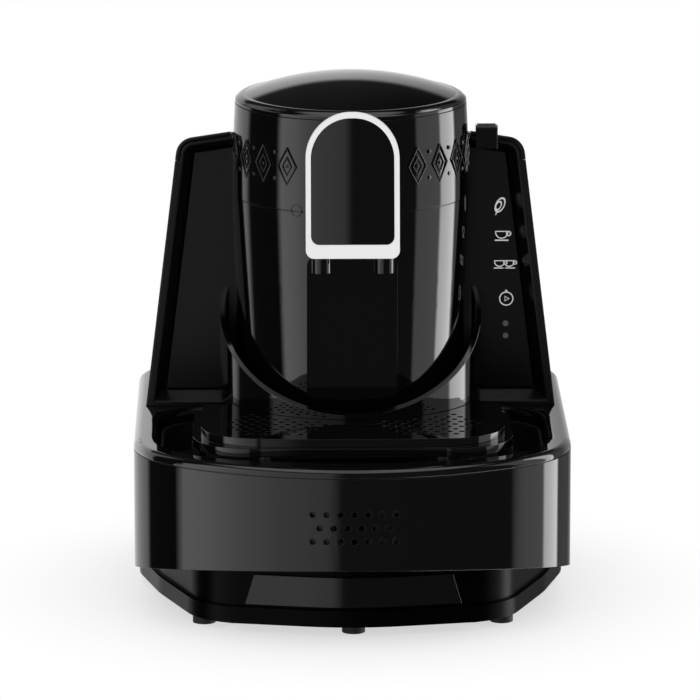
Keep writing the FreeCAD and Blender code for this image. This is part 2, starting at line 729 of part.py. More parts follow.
def make_nozzles():
    parts = []
    for side, word in ((-1, "left"), (1, "right")):
        outer = doc.addObject("Part::Cylinder", "nozzle_wall_" + word)
        outer.setExpression("Radius", "Sizes.nozzle_radius")
        outer.setExpression("Height", "Sizes.nozzle_top_z - Sizes.nozzle_low_z")
        inner = doc.addObject("Part::Cylinder", "nozzle_bore_" + word)
        inner.setExpression("Radius", "Sizes.nozzle_bore")
        inner.Height = 40
        for item, drop in ((outer, 0), (inner, 5)):
            item.setExpression("Placement.Base.x", "%d * Sizes.nozzle_x" % side)
            item.setExpression("Placement.Base.y", "Sizes.nozzle_y")
            item.setExpression("Placement.Base.z", "Sizes.nozzle_low_z - %d" % drop)
        tube = doc.addObject("Part::Cut", "nozzle_" + word)
        tube.Base = outer
        tube.Tool = inner
        parts.append(tube)
    group = doc.addObject("Part::Compound", "pour_nozzles")
    group.Links = parts
    group.Label = "pour_nozzles"
    doc.recompute()


def make_duct():
    body = new_body("pour_duct")
    z = size("duct_z")
    y = size("nozzle_y")
    reach = size("nozzle_x") + 4.0
    start = size("valve_y") - 6.75
    radius = size("duct_radius")
    bore = size("duct_bore")
    pad(body, "YZ_Plane", [circle(y, z, radius)], "0", str(2 * reach), both=True)
    pad(body, "XZ_Plane", [circle(0, z, radius)], str(-start), str(start - y))
    cut(body, "YZ_Plane", [circle(y, z, bore)], "0", str(2 * reach - 3), both=True)
    cut(body, "XZ_Plane", [circle(0, z, bore)], str(-start - 1), str(start - y + 1), reverse=True)
    down = [circle(s * size("nozzle_x"), y, bore) for s in (-1, 1)]
    cut(body, "XY_Plane", down, "Sizes.duct_z", "20")


# Tower: the wings on both sides of the column, panels, housing and tank dock

def make_wing(name, side):
    body = new_body(name)
    rear = "Sizes.frame_rear_y"
    top = size("cap_side_z") - 0.3
    inset = size("cap_thick") + 0.1
    raked(body, "Pad", wing_sides(0, 70, top), "Sizes.wing_y", rear)
    raked(body, "Pad", wing_outline(inset, 70), "Sizes.wing_y", rear)
    edge = size("recess_edge")
    inner = wing_outline(inset + edge, 93)
    depth = "Sizes.recess_depth"
    cut(body, "XZ_Plane", inner, "-Sizes.wing_y", depth, taper=-math.degrees(
        math.atan(size("recess_splay") / size("recess_depth"))))
    back = wing_outline(inset + 3.5, 80)
    cut(body, "XZ_Plane", back, "-Sizes.frame_rear_y", "Sizes.frame_rear_y - Sizes.wing_y - "
        "Sizes.recess_depth - 3", reverse=True)
    trim_below(body, "Sizes.seam_z + Sizes.deck_thick")
    trim_column(body, size("collar_radius") + 0.2, "60", "95")
    trim_column(body, size("column_radius") + 0.15)
    cut(body, "XY_Plane", box_outline(-side * 130, 0, side * 20, 80), "300", "300")
    if side > 0:
        lamps = [circle(79.5, z, 1.55) for z in (131.7, 125.3)]
        cut(body, "XZ_Plane", lamps, "0", "100")


def panel_outline():
    """Front view of the recessed panels, both sides in one."""
    inset = size("cap_thick") + 0.1 + size("recess_edge") + size("recess_splay") + 0.2
    low = 93 + size("recess_splay")
    return wing_outline(inset, low)


def make_panel(name, side):
    body = new_body(name)
    pad(body, "XZ_Plane", panel_outline(), "-(Sizes.wing_y + Sizes.recess_depth)", "2")
    trim_column(body, size("column_radius") + 0.15)
    cut(body, "XY_Plane", box_outline(-side * 130, 0, side * 20, 80), "300", "300")
    if side > 0:
        lamps = [circle(79.5, z, 1.55) for z in (131.7, 125.3)]
        cut(body, "XZ_Plane", lamps, "0", "100")


def make_lamps():
    parts = []
    for i, z in enumerate((131.7, 125.3)):
        lens = doc.addObject("Part::Cylinder", "lamp_lens_%d" % i)
        lens.Radius = 1.5
        lens.setExpression("Height", "5.2")
        lens.Placement = FreeCAD.Placement(
            Vector(79.5, size("wing_y") + size("recess_depth") - 2.2, z),
            FreeCAD.Rotation(Vector(1, 0, 0), -90))
        parts.append(lens)
    group = doc.addObject("Part::Compound", "indicator_lenses")
    group.Links = parts
    group.Label = "indicator_lenses"
    doc.recompute()


def make_touch_board():
    body = new_body("touch_board")
    edges = rounded([(66, 108, 2), (90, 108, 2), (84, 212, 2), (66, 212, 2)])
    pad(body, "XZ_Plane", edges, "-(Sizes.wing_y + Sizes.recess_depth + 3)", "1.6", reverse=True)


def make_housing():
    body = new_body("tower_housing")
    inset = size("cap_thick") + 0.1
    near = "Sizes.frame_rear_y"
    rear = "Sizes.housing_rear_y"
    raked(body, "Pad", wing_sides(0, 60, size("cap_side_z") - 0.3), near, rear)
    raked(body, "Pad", wing_outline(inset, 60), near, rear)
    inside = wing_outline(inset + 3, 40)
    raked(body, "Pocket", inside, "Sizes.frame_rear_y - 1", "Sizes.housing_rear_y - 2.6")
    trim_below(body, "Sizes.seam_z + Sizes.deck_thick")
    trim_column(body, size("column_radius") + 0.15)


def make_dock():
    body = new_body("tank_dock")
    raked(body, "Pad", wing_sides(0, 60, 160), "Sizes.housing_rear_y", "Sizes.rear_y")
    round_rear(body)
    trim_below(body, "Sizes.seam_z + Sizes.deck_thick")
    cut(body, "XY_Plane", box_outline(-130, 60, 130, 140), "Sizes.dock_top_z", "100", reverse=True)
    cut(body, "XY_Plane", [circle(0, 100, 9.0)], "Sizes.dock_top_z", "4")
    cut(body, "XY_Plane", [circle(0, 100, 3.6)], "Sizes.dock_top_z", "20")


def make_dock_seal():
    body = new_body("dock_seal")
    pad(body, "XY_Plane", [circle(0, 100, 8.9)], "Sizes.dock_top_z - 4", "3.9")
    cut(body, "XY_Plane", [circle(0, 100, 5.2)], "Sizes.dock_top_z - 5", "10", reverse=True)


# Water tank, its cap and outlet valve

def make_tank():
    body = new_body("water_tank")
    near = "Sizes.tank_front_y"
    raked(body, "Pad", wing_sides(0, 60, size("cap_side_z") - 0.3), near, "Sizes.rear_y")
    round_rear(body)
    raked(body, "Pad", wing_outline(size("cap_thick") + 0.1, 60), near, "Sizes.rear_y - 4.2")
    fall = size("wing_fall") * (size("rear_y") - size("wing_y"))
    floor = size("tank_floor_z") + size("tank_bottom")
    inset = size("tank_wall")
    inside = path(
        (inset - wing_half(floor + fall), floor), (wing_half(floor + fall) - inset, floor),
        (wing_half(280) - inset, 280 - fall), (inset - wing_half(280), 280 - fall))
    cut(body, "XZ_Plane", inside, "-(Sizes.tank_front_y + 2.6)",
        "Sizes.rear_y - Sizes.tank_front_y - 9.6")
    trim_below(body, "Sizes.tank_floor_z")
    cut(body, "XY_Plane", box_outline(-130, size("rear_y") - 4.2, 130, 140),
        "Sizes.tank_hinge_z - 2.8", "100", reverse=True)
    trim_column(body, size("arm_clear"))
    cut(body, "XY_Plane", [circle(0, 100, 3.6)], "60", "60", reverse=True)
    y = size("tank_hinge_y")
    z = size("tank_hinge_z")
    lug = path((y - 2.2, z - 5), (y - 2.2, z), ((y, z + 1.9), (y + 1.9, z)), (y + 1.9, z - 5))
    for side in (-1, 1):
        pad(body, "YZ_Plane", lug, str(side * 14.2), "3.6", both=True)
    cut(body, "YZ_Plane", [circle(y, z, size("tank_pin") + 0.03)], "0", "60", both=True)


def make_tank_pin():
    pin = doc.addObject("Part::Cylinder", "tank_lid_pin")
    pin.Label = "tank_lid_pin"
    pin.setExpression("Radius", "Sizes.tank_pin")
    pin.Height = 32
    place = Vector(-16, size("tank_hinge_y"), size("tank_hinge_z"))
    pin.Placement = FreeCAD.Placement(place, FreeCAD.Rotation(Vector(0, 1, 0), 90))
    doc.recompute()


def make_tank_lid():
    body = new_body("tank_lid")
    raked(body, "Pad", wing_outline(0, size("cap_side_z")), "Sizes.wing_y - 0.5", "Sizes.rear_y")
    x = wing_half(size("cap_side_z")) - size("tank_corner")
    y = size("rear_y") - size("tank_corner")
    r = size("tank_corner")
    for side in (-1, 1):
        edges = path(
            (side * (x + r), y), ((side * (x + 0.7071 * r), y + 0.7071 * r), (side * x, y + r)),
            (side * x, y + 30), (side * (x + 30), y + 30), (side * (x + 30), y))
        cut(body, "XY_Plane", edges, "300", "300")
    raked(body, "Pocket", wing_outline(size("cap_thick"), 150), "Sizes.wing_y - 3",
          "Sizes.rear_y - 2.4")
    trim_column(body, size("arm_clear"))
    cut(body, "XY_Plane", box_outline(-17, 50, 17, size("tank_front_y") - 0.1), "300", "300")
    y = size("tank_hinge_y")
    z = size("tank_hinge_z")
    cut(body, "XY_Plane", box_outline(-80, y - 3, 80, y + 9), "Sizes.tank_hinge_z - 0.2", "30")
    cut(body, "XZ_Plane", box_outline(-16.4, z - 6, 16.4, z + 3), "-Sizes.tank_hinge_y + 6", "20")
    pad(body, "YZ_Plane", path((y - 0.6, z), (y + 1.9, z), (y + 1.9, z + 4.4), (y - 0.6, z + 4.4)),
        "0", "24", both=True)
    pad(body, "YZ_Plane", [circle(y, z, 1.9)], "0", "24", both=True)
    cut(body, "YZ_Plane", [circle(y, z, size("tank_pin") + 0.05)], "0", "40", both=True)
    x = size("tab_x")
    half = size("tab_half")
    top = size("wing_shoulder_z") + 2.9
    y = size("wing_y")
    hook = path(
        (y - 4.2, top - 7.5), (y - 0.7, top - 7.5), (y - 0.7, top - 1.2), (y + 12, top - 4.2),
        (y + 12, top - 1), (y + 8, top + 3.4), (y - 3.2, top + 4.6), (y - 4.2, top + 3.6))
    pad(body, "YZ_Plane", hook, str(x), str(2 * half), both=True)


def make_tank_valve():
    body = new_body("tank_valve")
    spin(body, path(
        (0, 101.6), (7.0, 101.6), (7.0, 103.2), (3.0, 105.0), (0, 105.0)))
    pad(body, "XY_Plane", [circle(0, 0, 2.6)], "102", "5", reverse=True)
    body.Placement.Base = Vector(0, 100, 0)
    doc.recompute()


# Cup platform and drip tray

def platform_outline(grow):
    g = grow
    half = size("platform_half") + g
    front = size("platform_front_y") - g * 0.6
    gap = size("collar_radius") + 0.7
    y0 = -18.0
    x0 = math.sqrt(gap ** 2 - (y0 - size("axis_y")) ** 2)
    return path(
        (-46, front + 1.6), ((0, front), (46, front + 1.6)),
        ((half - 8.0, front + 10.6), (half, front + 34)), (half, y0), (x0, y0),
        ((0, size("axis_y") - gap), (-x0, y0)), (-half, y0), (-half, front + 34),
        ((8.0 - half, front + 10.6), (-46, front + 1.6)))


def zone_spots():
    """Spots of the two perforated rounds under the cups, on a staggered grid."""
    pitch = size("hole_pitch")
    reach = size("zone_radius")
    rows = int(reach / (pitch * 0.866))
    for side in (-1, 1):
        for row in range(-rows, rows + 1):
            shift = 0.5 * (row % 2)
            for i in range(-rows - 1, rows + 2):
                x = (i + shift) * pitch
                y = row * pitch * 0.866
                spot = (side * size("zone_x") + x, size("zone_y") + y)
                column = math.hypot(spot[0], spot[1] - size("axis_y"))
                if math.hypot(x, y) <= reach and column > size("collar_radius") + 5:
                    yield spot


def hexagon(x, y, radius):
    turns = [math.pi / 3 * i for i in range(6)]
    return path(*[(x + radius * math.cos(t), y + radius * math.sin(t)) for t in turns])


def make_platform():
    body = new_body("cup_platform")
    top = "Sizes.platform_top_z"
    slab = "Sizes.platform_slab"
    pad(body, "XY_Plane", platform_outline(0), top, slab, reverse=True)
    pad(body, "XY_Plane", platform_outline(size("flange_reach")), top + " - " + slab,
        "Sizes.platform_flange", reverse=True)
    hollow = platform_outline(-3.0)
    depth = size("platform_slab") + size("platform_flange") - 2.6
    gap = size("collar_radius") + 0.7
    cut(body, "XY_Plane", hollow, "%s - %s - Sizes.platform_flange - 1" % (top, slab),
        str(depth + 1), reverse=True)
    pad(body, "XY_Plane", [circle(0, size("axis_y"), gap + 2.4), circle(0, size("axis_y"), gap)],
        top + " - 1", "%s + Sizes.platform_flange - 1" % slab, reverse=True)
    cut(body, "XY_Plane", box_outline(-90, -18, 90, 120), "60", "60", reverse=True)
    holes = [edge for x, y in zone_spots() for edge in hexagon(x, y, size("hole_radius"))]
    cut(body, "XY_Plane", holes, "140", "80")


def make_tray():
    body = new_body("drip_tray")
    gap = size("tray_gap")
    wall = size("tray_wall")
    base = "Sizes.bowl_floor_z + 0.05"
    pad(body, "XY_Plane", bowl_outline(-gap), base, "Sizes.tray_top_z - Sizes.bowl_floor_z")
    ring = size("collar_radius") + 0.7
    trim_column(body, ring, "20", "200")
    outer = bowl_outline(-gap - wall)
    level = "Sizes.bowl_floor_z + 1.6"
    cut(body, "XY_Plane", outer, level, "60", reverse=True)
    axis = size("axis_y")
    pad(body, "XY_Plane", [circle(0, axis, ring + wall), circle(0, axis, ring)], base,
        "Sizes.tray_top_z - Sizes.bowl_floor_z")
    cut(body, "XY_Plane", box_outline(-100, size("bowl_rear_y") - gap, 100, 140), "40", "90",
        reverse=True)
    posts = [circle(x, y, 3.2) for x, y in (
        (-77, -62), (77, -62), (-77, -24), (77, -24), (-44, -96), (44, -96))]
    top = "Sizes.platform_top_z - Sizes.platform_slab - Sizes.platform_flange"
    pad(body, "XY_Plane", posts, base, top + " - Sizes.bowl_floor_z - 0.1")


# Works inside the base

def make_speaker():
    body = new_body("speaker")
    inner = size("front_radius") - size("drum_wall") - 0.05
    centre = size("front_y") + size("front_radius")
    x = 46.0
    y = centre - math.sqrt(inner ** 2 - x * x)
    rear = size("front_y") + 14
    z = size("dimple_z")
    edges = path((-x, y), ((0, centre - inner), (x, y)), (x, rear), (-x, rear))
    pad(body, "XY_Plane", edges, str(z - 12), "24")
    cut(body, "XZ_Plane", [circle(0, z, 10), circle(-26, z, 8), circle(26, z, 8)],
        str(-(size("front_y") + 12)), "20", reverse=True)
    pad(body, "XZ_Plane", [circle(0, z, 9)], str(-(rear + 3)), "5")


def make_board():
    body = new_body("control_board")
    pad(body, "XY_Plane", box_outline(-48, -58, 48, -2), "Sizes.plate_z + Sizes.plate_thick + 6", "1.6")
    for x0, y0, x1, y1, tall in (
            (-40, -50, -18, -30, "16"), (-10, -50, 8, -36, "11"), (16, -46, 40, -20, "9"),
            (-36, -22, -12, -12, "7")):
        pad(body, "XY_Plane", box_outline(x0, y0, x1, y1), "Sizes.plate_z + Sizes.plate_thick + 7.6", tall)


def make_pump():
    body = new_body("water_pump")
    base = "Sizes.plate_z + Sizes.plate_thick"
    pad(body, "XY_Plane", rounded([(30, 40, 3), (74, 40, 3), (74, 78, 3), (30, 78, 3)]), base, "30")
    pad(body, "XY_Plane", [circle(44, 52, 3.0), circle(62, 66, 3.0)], base + " + 30", "8")
    cut(body, "XY_Plane", [circle(44, 52, 1.8), circle(62, 66, 1.8)], base + " + 25", "20", reverse=True)


def hose_section(place, way, radius, bore):
    """The ring-shaped section of a hose, square to its run."""
    whole = Part.Face(Part.Wire(Part.makeCircle(radius, place, way)))
    return whole.cut(Part.Face(Part.Wire(Part.makeCircle(bore, place, way))))


def hose(name, points, radius, bore):
    """A hose through points: straight runs joined by round bends."""
    verts = [Vector(*p) for p in points]
    bend = 14.0
    pieces = []
    here = verts[0]
    for i in range(1, len(verts)):
        way = (verts[i] - verts[i - 1]).normalize()
        ring = hose_section(here, way, radius, bore)
        if i == len(verts) - 1:
            pieces.append(ring.extrude(verts[i] - here))
            break
        ahead = (verts[i + 1] - verts[i]).normalize()
        start = verts[i] - way * bend
        pieces.append(ring.extrude(start - here))
        turned = hose_section(start, way, radius, bore)
        pieces.append(turned.revolve(start + ahead * bend, way.cross(ahead), 90))
        here = verts[i] + ahead * bend
    shape = doc.addObject("Part::Feature", name)
    shape.Label = name
    shape.Shape = pieces[0].multiFuse(pieces[1:])
    shape.Placement = FreeCAD.Placement()
    doc.recompute()


def make_hoses():
    top = size("plate_z") + size("plate_thick") + 34
    hose("suction_hose", ((0, 100, size("dock_top_z") - 4.1), (0, 100, 64), (44, 100, 64),
                          (44, 52, 64), (44, 52, top)), 3.5, 3.05)
    hose("feed_hose", ((62, 66, top), (62, 66, 62), (62, 30, 62), (31, 30, 62),
                      (31, 30, size("pot_floor_z"))), 3.5, 3.05)


def make_gland():
    body = new_body("cord_gland")
    pad(body, "XZ_Plane", [circle(-70, 45, 9)], "-(Sizes.rear_y - Sizes.drum_wall)", "3")
    pad(body, "XZ_Plane", [circle(-70, 45, 6)], "-(Sizes.rear_y - Sizes.drum_wall)", "Sizes.drum_wall",
        reverse=True)
    cut(body, "XZ_Plane", [circle(-70, 45, 3.4)], "-Sizes.rear_y - 2", "30", reverse=True)


make_drum_shell()
make_drum_floor()
make_plinth()
make_plinth_panel()
make_base_plate()
make_feet()
make_screws()
make_deck()
make_column()
make_niche()
make_collar()
make_head()
make_hinge_pin()
make_lid()
make_liner()
make_lid_seal()
make_pot()
make_heater()
make_thermostat()
make_valve_body()
make_plunger()
make_solenoid()
make_hood()
make_spout_frame()
make_badge_panel()
make_nozzles()
make_duct()
make_wing("left_wing", -1)
make_wing("right_wing", 1)
make_panel("left_panel", -1)
make_panel("control_panel", 1)
make_lamps()
make_touch_board()
make_housing()
make_dock()
make_dock_seal()
make_tank()
make_tank_pin()
make_tank_lid()
make_tank_valve()
make_platform()
make_tray()
make_speaker()
make_board()
make_pump()
make_hoses()
make_gland()

NODES = (
    "drum_shell", "drum_floor", "plinth", "plinth_panel", "base_plate", "feet", "base_screws",
    "deck", "column_shell", "niche_panel", "column_collar", "head_shell", "lid_hinge_pin",
    "brew_lid", "lid_liner", "lid_seal", "brew_pot", "heater_plate", "thermostat", "valve_body",
    "serving_plunger", "serving_solenoid", "spout_hood", "spout_frame", "badge_panel",
    "pour_nozzles", "pour_duct", "left_wing", "right_wing", "left_panel", "control_panel",
    "indicator_lenses", "touch_board", "tower_housing", "tank_dock", "dock_seal", "water_tank",
    "tank_lid", "tank_lid_pin", "tank_valve", "cup_platform", "drip_tray", "speaker", "control_board",
    "water_pump", "suction_hose", "feed_hose", "cord_gland")

doc.recompute()
for item in doc.Objects:
    if "Invalid" in item.State or "Error" in item.State:
        raise RuntimeError("feature failed: %s %s" % (item.Name, item.State))
os.makedirs("parts", exist_ok=True)
for name in NODES:
    found = [item for item in doc.Objects if item.Label == name][0]
    shape = found.Shape
    if shape.isNull() or not shape.isValid() or not shape.Solids:
        raise RuntimeError("bad shape: " + name)
    box = shape.BoundBox
    print("%-18s solids %d  x %.1f..%.1f  y %.1f..%.1f  z %.1f..%.1f  vol %.0f" % (
        name, len(shape.Solids), box.XMin, box.XMax, box.YMin, box.YMax, box.ZMin, box.ZMax,
        shape.Volume))
    shape.exportStep("parts/%s.step" % name)
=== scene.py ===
import json
import math
import bpy
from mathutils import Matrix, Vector


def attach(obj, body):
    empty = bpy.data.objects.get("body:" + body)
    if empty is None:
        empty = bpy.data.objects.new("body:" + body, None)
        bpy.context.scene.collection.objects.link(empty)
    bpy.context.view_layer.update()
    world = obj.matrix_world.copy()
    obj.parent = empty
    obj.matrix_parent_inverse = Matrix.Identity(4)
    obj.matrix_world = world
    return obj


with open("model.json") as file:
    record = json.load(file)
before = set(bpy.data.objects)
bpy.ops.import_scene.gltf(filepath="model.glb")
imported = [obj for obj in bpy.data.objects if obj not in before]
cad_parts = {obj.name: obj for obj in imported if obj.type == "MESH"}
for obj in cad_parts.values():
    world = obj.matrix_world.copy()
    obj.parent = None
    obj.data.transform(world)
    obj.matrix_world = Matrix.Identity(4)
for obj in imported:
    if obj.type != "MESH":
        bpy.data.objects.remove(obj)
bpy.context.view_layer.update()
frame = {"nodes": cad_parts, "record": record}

# Shader helpers: colours as hex, and nodes made and linked in one call.
# Every material, the world and the floor are built with these.


def tint(code):
    """A hex colour as linear RGBA."""
    parts = [int(code[i:i + 2], 16) / 255 for i in (1, 3, 5)]
    return tuple(c / 12.92 if c <= 0.04045 else ((c + 0.055) / 1.055) ** 2.4 for c in parts) + (1.0,)


def add(tree, kind, settings=None, links=None):
    """One shader node, with its sockets set to values or linked to other nodes' outputs."""
    node = tree.nodes.new(kind)
    for key, value in (settings or {}).items():
        if isinstance(key, str) and hasattr(node, key) and key not in node.inputs:
            setattr(node, key, value)
        else:
            node.inputs[key].default_value = value
    for key, source in (links or {}).items():
        tree.links.new(source, node.inputs[key])
    return node


def maths(tree, what, *values):
    """The result of one maths node on numbers or other nodes' outputs."""
    node = add(tree, "ShaderNodeMath", {"operation": what})
    for i, value in enumerate(values):
        if isinstance(value, (int, float)):
            node.inputs[i].default_value = value
        else:
            tree.links.new(value, node.inputs[i])
    return node.outputs[0]


def bump(tree, height, strength, distance, normal):
    """A normal bent by a height, on top of the normal given, if any."""
    links = {"Height": height}
    if normal:
        links["Normal"] = normal
    node = add(tree, "ShaderNodeBump", {"Strength": strength, "Distance": distance}, links)
    return node.outputs["Normal"]


# Materials: principled surfaces, each named for the real material.
# Grain is the fine texture of a moulding, and crown a slight bulge across its width.

GRAIN_DEPTH = 0.0002


def bulge(tree, across, radius, middle, flat):
    """The height of a surface that curves across X at a radius, beyond a flat half-width if given."""
    if flat:
        out = maths(tree, "SUBTRACT", maths(tree, "ABSOLUTE", across), flat)
        side = maths(tree, "MAXIMUM", out, 0.0)
    else:
        side = maths(tree, "SUBTRACT", across, middle)
    return maths(tree, "MULTIPLY", maths(tree, "MULTIPLY", side, side), -0.5 / radius)


def material(name, colour, rough, metal=0.0, ior=1.5, clear=0.0, edge=0.0004, grain=0.0,
             grain_scale=900.0, rough_spread=0.0, crown=0.0, crown_x=0.0, brim=0.0):
    """A named real material with rounded edges and, where asked, grain and a crown."""
    mat = bpy.data.materials.new(name)
    mat.use_nodes = True
    tree = mat.node_tree
    tree.nodes.clear()
    place = add(tree, "ShaderNodeTexCoord")
    shader = add(tree, "ShaderNodeBsdfPrincipled", {
        "Base Color": tint(colour), "Roughness": rough, "Metallic": metal, "IOR": ior,
        "Transmission Weight": clear})
    normal = None
    if edge:
        normal = add(tree, "ShaderNodeBevel", {"samples": 4, "Radius": edge}).outputs["Normal"]
    if grain or rough_spread:
        noise = add(tree, "ShaderNodeTexNoise", {"Scale": grain_scale, "Detail": 3.0},
                    {"Vector": place.outputs["Object"]}).outputs["Fac"]
        if grain:
            normal = bump(tree, noise, grain, GRAIN_DEPTH, normal)
        if rough_spread:
            spread = add(tree, "ShaderNodeMapRange", {
                "To Min": rough - rough_spread, "To Max": rough + rough_spread}, {"Value": noise})
            tree.links.new(spread.outputs["Result"], shader.inputs["Roughness"])
    if crown:
        across = add(tree, "ShaderNodeSeparateXYZ", None, {"Vector": place.outputs["Object"]})
        height = bulge(tree, across.outputs["X"], crown, crown_x, brim)
        normal = bump(tree, height, 1.0, 1.0, normal)
    if normal:
        tree.links.new(normal, shader.inputs["Normal"])
    add(tree, "ShaderNodeOutputMaterial", None, {"Surface": shader.outputs["BSDF"]})
    return mat


GLOSS = material("piano_black_abs", "#040405", 0.045)
WING_PANEL = material("satin_black_panel", "#161617", 0.22)
WING = material("polished_black_abs", "#080809", 0.26, edge=0.0014)
CAP = material("gloss_black_cap_abs", "#060607", 0.08, edge=0.0018)
TOUCH = material("smooth_black_panel", "#09090a", 0.2)
DECK = material("crowned_black_abs", "#060607", 0.05, crown=0.018, brim=0.0965)
SATIN = material("satin_black_abs", "#131314", 0.38, grain=0.15, grain_scale=2600)
BADGE = material("convex_black_acrylic", "#040405", 0.03, edge=0.0, crown=0.1, crown_x=0.004)
# Plinth: the body's gloss black with a darker colour and a weaker reflection. This is painted shade,
# so it stays black where it would mirror the white floor.
PLINTH_SHADE = material("plinth_black_painted_shade", "#020202", 0.3, ior=1.13, grain=0.1, grain_scale=2600)
SILVER = material("satin_silver_paint", "#f8f8f8", 0.3, metal=0.1, rough_spread=0.04)
RUBBER = material("black_rubber", "#101010", 0.75, grain=0.3)
SILICONE = material("grey_silicone", "#8f9294", 0.5, grain=0.1)
STEEL = material("brushed_stainless", "#b4b2ae", 0.24, metal=1.0, rough_spread=0.08)
ALLOY = material("cast_aluminium", "#c2c3c5", 0.4, metal=1.0, grain=0.2)
SMOKED = material("smoked_polycarbonate", "#2b2c30", 0.06, clear=0.85, ior=1.45)
LAMP = material("diffused_lamp_lens", "#5c5e62", 0.4)
BOARD = material("circuit_board_laminate", "#0f3a22", 0.4)
WORKS = material("white_nylon", "#c9c6bd", 0.5, grain=0.1)
PRINT = material("white_pad_print", "#f2f2f0", 0.5, edge=0.0)

# Finishes: each CAD piece takes the material of its slot in the record.
# A few outer pieces of the gloss black slot have a finish of their own; the plinth's is the gloss
# black darkened as painted shade.

FINISH = {
    "gloss_black": GLOSS, "satin_black": SATIN, "dark_panel": GLOSS, "silver_trim": SILVER,
    "rubber_black": RUBBER, "silicone_seal": SILICONE, "stainless": STEEL,
    "aluminium_part": ALLOY, "smoked_clear": SMOKED, "lamp_white": LAMP, "board_green": BOARD,
    "works_white": WORKS}
SPECIAL = {
    "badge_panel": BADGE, "control_panel": TOUCH, "left_panel": WING_PANEL, "plinth": PLINTH_SHADE,
    "left_wing": WING, "right_wing": WING, "deck": DECK, "tank_lid": CAP}
slots = {row["node"]: row["material_slot"] for row in frame["record"]["subparts"]}
for name, node in frame["nodes"].items():
    chosen = SPECIAL.get(name, FINISH[slots[name]])
    for slot in node.material_slots:
        slot.material = chosen

# Modelling helpers: each new piece starts as a primitive with nothing else selected.
# Its place, turn and size are applied before it is joined and set on a body.

TO_FRONT = math.pi / 2


def ready():
    """Leave edit mode and drop the selection before a new piece."""
    if bpy.context.object and bpy.context.object.mode != "OBJECT":
        bpy.ops.object.mode_set(mode="OBJECT")
    bpy.ops.object.select_all(action="DESELECT")


def settle(item):
    """Apply an object's place, turn and size to its mesh."""
    ready()
    item.select_set(True)
    bpy.context.view_layer.objects.active = item
    bpy.ops.object.transform_apply(location=True, rotation=True, scale=True)


def join(parts, name, finish, body):
    """Join settled pieces into one object that rides on a body."""
    for item in parts:
        settle(item)
    ready()
    for item in parts:
        item.select_set(True)
    bpy.context.view_layer.objects.active = parts[0]
    bpy.ops.object.join()
    whole = bpy.context.object
    whole.name = name
    whole.data.materials.clear()
    whole.data.materials.append(finish)
    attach(whole, body)


def ring(spot, facing, radius, line, stretch=(1.0, 1.0, 1.0), sides=32, round_sides=8):
    """A ring of round line that lies on a surface, with few sides where it is a lozenge."""
    ready()
    bpy.ops.mesh.primitive_torus_add(
        location=spot, rotation=facing, major_segments=sides, minor_segments=round_sides,
        major_radius=radius, minor_radius=line)
    item = bpy.context.object
    item.scale = stretch
    return item


# Ornament: a raised band of double lozenges and beads round the head.
# It is left open at the badge and ends at the head's sides.

HEAD_AXIS = 0.012
HEAD_RADIUS = 0.0599
BAND_Z = 0.226
BAND_START = 33.0
BAND_PITCH = 14.5
LOZENGES = ((0.0054, 0.0092, 0.00042), (0.0026, 0.0045, 0.00036))
BEAD_RISE = 0.0066
BEAD_RADIUS = 0.0011
MIDDLE_RADIUS = 0.0009


def on_head(degrees, z):
    """A point on the head's wall at an angle from straight ahead, and the turn that faces it."""
    angle = math.radians(degrees)
    spot = (HEAD_RADIUS * math.sin(angle), HEAD_AXIS - HEAD_RADIUS * math.cos(angle), z)
    return spot, (TO_FRONT, 0, angle)


def bead(degrees, z, radius):
    """A flattened bead on the head's wall."""
    spot, facing = on_head(degrees, z)
    ready()
    bpy.ops.mesh.primitive_uv_sphere_add(
        location=spot, rotation=facing, segments=16, ring_count=8, radius=radius)
    item = bpy.context.object
    item.scale = (1.0, 1.0, 0.4)
    return item


marks = []
for step in range(4):
    for side in (-1, 1):
        turned = side * (BAND_START + BAND_PITCH * step)
        spot, facing = on_head(turned, BAND_Z)
        for wide, tall, line in LOZENGES:
            marks.append(ring(spot, facing, wide, line, (1.0, tall / wide, 1.0), sides=4))
        for lift in (-BEAD_RISE, BEAD_RISE):
            marks.append(bead(turned + side * BAND_PITCH / 2, BAND_Z + lift, BEAD_RADIUS))
        marks.append(bead(turned, BAND_Z, MIDDLE_RADIUS))
join(marks, "head_ornament", GLOSS, "housing")

# Ring mark: a thin round line on the parting line of the head, left of the badge.
# It is a mark only and nothing turns there.

MARK_TURN = -27.6
PARTING_Z = 0.2042

spot, facing = on_head(MARK_TURN, PARTING_Z)
join([ring(spot, facing, 0.0029, 0.00025)], "ring_mark", GLOSS, "housing")

# Printed keys on the right panel: a leaf, one cup, two cups and a rinsing circle.
# They are thin white prints on the panel, and none of them is a key with travel.

PANEL_Y = 0.02796
PRINT_DEPTH = 0.00004
LINE = 0.0003
LEAF_X, LEAF_Z, LEAF_TURN = 0.0764, 0.1934, 0.45
ONE_CUP = (0.0773, 0.1792)
TWO_CUPS = ((0.0763, 0.1640), (0.0812, 0.1640))
RINSE_X, RINSE_Z = 0.0798, 0.1446


def ring_print(x, z, radius, line, stretch=1.0, turn=0.0, sides=32):
    """A printed ring, oval where it is stretched."""
    return ring((x, PANEL_Y, z), (TO_FRONT, turn, 0), radius, line, (1.0, stretch, 0.1), sides, 6)


def bar_print(x, z, wide, tall, turn=0.0):
    """A printed bar."""
    ready()
    bpy.ops.mesh.primitive_cube_add(size=1.0, location=(x, PANEL_Y, z), rotation=(0, turn, 0))
    item = bpy.context.object
    item.scale = (wide, PRINT_DEPTH, tall)
    return item


